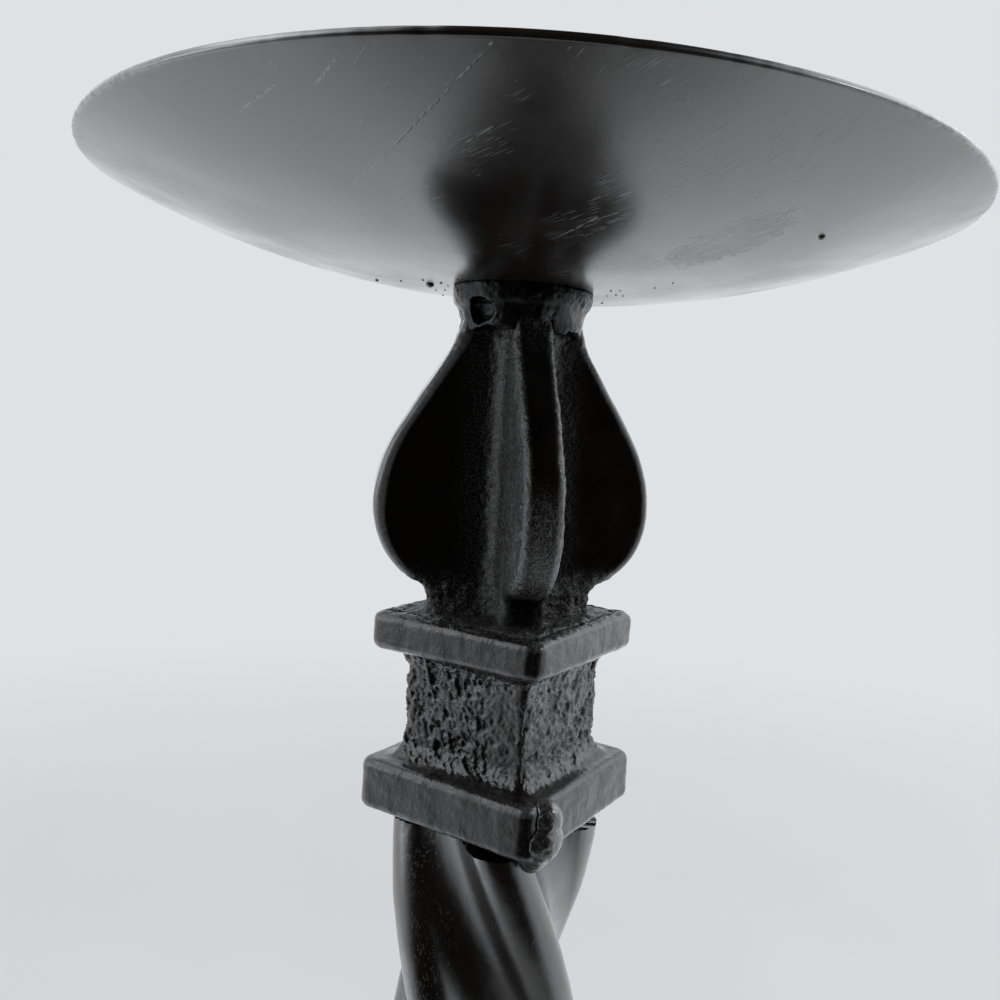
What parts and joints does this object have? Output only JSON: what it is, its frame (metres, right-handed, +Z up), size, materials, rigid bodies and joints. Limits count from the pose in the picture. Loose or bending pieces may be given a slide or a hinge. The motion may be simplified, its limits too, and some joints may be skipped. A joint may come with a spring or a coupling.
{
  "type": "twisted stem candle holder",
  "caption": "Tall candle holder: dished round drip pan on a four-fin knop, twisted hollow square stem, matching foot knop and stepped square base.",
  "frame": {"origin": "middle of the underside of the base felt, on the surface that the holder stands on", "axes": "+Z up along the stem; the sides of the base plates and of the castings' collars lie along X and Y; the large weld run on the head is at the corner towards +X and -Y"},
  "size_m": [0.1497, 0.1497, 0.4033],
  "materials": {
    "felt": "pressed felt",
    "black_steel": "satin black with worn edges",
    "pan_steel": "satin black with fine scratches",
    "black_casting": "black, rough cast with dressed faces",
    "weld_metal": "black over smooth and lumpy weld"
  },
  "bodies": {
    "root": {"base_felt": "felt", "base_plate": "black_steel", "step_plate": "black_steel", "step_weld": "weld_metal", "foot_neck_weld": "weld_metal", "foot_casting": "black_casting", "lower_stem_welds": "weld_metal", "twisted_stem": "black_steel", "upper_stem_welds": "weld_metal", "head_casting": "black_casting", "head_neck_weld": "weld_metal", "drip_pan": "pan_steel", "candle_spike": "black_steel", "spike_weld": "weld_metal"}
  },
  "joints": []
}
